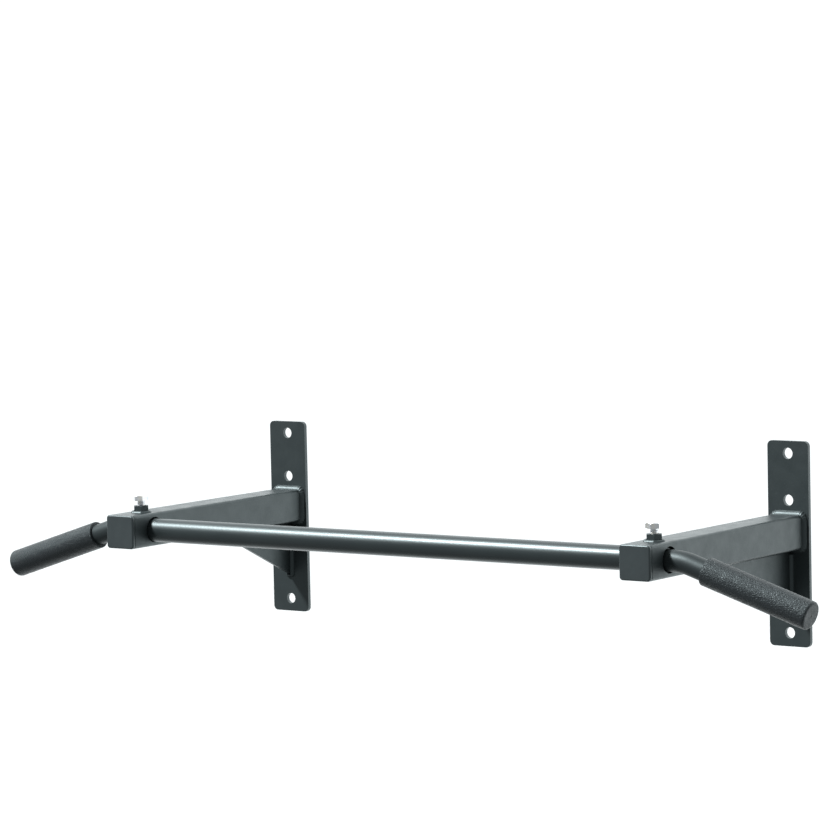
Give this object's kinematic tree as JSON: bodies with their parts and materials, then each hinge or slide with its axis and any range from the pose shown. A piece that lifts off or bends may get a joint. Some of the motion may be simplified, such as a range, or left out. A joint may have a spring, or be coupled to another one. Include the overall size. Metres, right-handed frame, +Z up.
{
  "type": "wall-mounted pull up bar",
  "caption": "Wall-mounted pull-up bar: welded square-tube brackets carry a straight bar with bent, gripped handles clamped in its ends.",
  "frame": {"origin": "on the wall plane, midway between the two wall plates, level with the middle of the arms", "axes": "+X along the bar to the right as seen from the room, +Y into the wall, +Z up"},
  "size_m": [1.1262, 0.3423, 0.24],
  "materials": {
    "bracket_coat": "satin powder coat on steel",
    "weld_bead": "satin powder coat over weld beads",
    "bar_coat": "smooth semi-gloss coat on round steel tube",
    "cap_plastic": "moulded plastic with a fine grain",
    "zinc_plate": "bright zinc plated steel",
    "grip_foam": "soft closed-cell foam with fine creases"
  },
  "bodies": {
    "frame": {"wall_plate_left": "bracket_coat", "wall_plate_right": "bracket_coat", "arm_left": "bracket_coat", "arm_right": "bracket_coat", "gusset_left": "bracket_coat", "gusset_right": "bracket_coat", "arm_weld_left": "weld_bead", "arm_weld_right": "weld_bead", "gusset_plate_weld_left": "weld_bead", "gusset_plate_weld_right": "weld_bead", "gusset_arm_weld_left": "weld_bead", "gusset_arm_weld_right": "weld_bead", "clamp_nut_left": "bracket_coat", "clamp_nut_right": "bracket_coat", "nut_weld_left": "weld_bead", "nut_weld_right": "weld_bead", "end_cap_left": "cap_plastic", "end_cap_right": "cap_plastic", "centre_bar": "bar_coat"},
    "handle_left": {"handle_tube_left": "bar_coat", "grip_left": "grip_foam"},
    "handle_right": {"handle_tube_right": "bar_coat", "grip_right": "grip_foam"},
    "bolt_left": {"locking_bolt_left": "zinc_plate"},
    "bolt_right": {"locking_bolt_right": "zinc_plate"}
  },
  "joints": [
    {"name": "handle_left_turn", "type": "hinge", "parent": "frame", "child": "handle_left", "pos_m": [-0.382, -0.3, -0.0007], "axis": [1, 0, 0], "continuous": true},
    {"name": "handle_right_turn", "type": "hinge", "parent": "frame", "child": "handle_right", "pos_m": [0.382, -0.3, -0.0007], "axis": [1, 0, 0], "continuous": true},
    {"name": "locking_bolt_left_travel", "type": "slide", "parent": "frame", "child": "bolt_left", "axis": [0, 0, 1], "range_m": [0, 0.012]},
    {"name": "locking_bolt_right_travel", "type": "slide", "parent": "frame", "child": "bolt_right", "axis": [0, 0, 1], "range_m": [0, 0.012]}
  ]
}
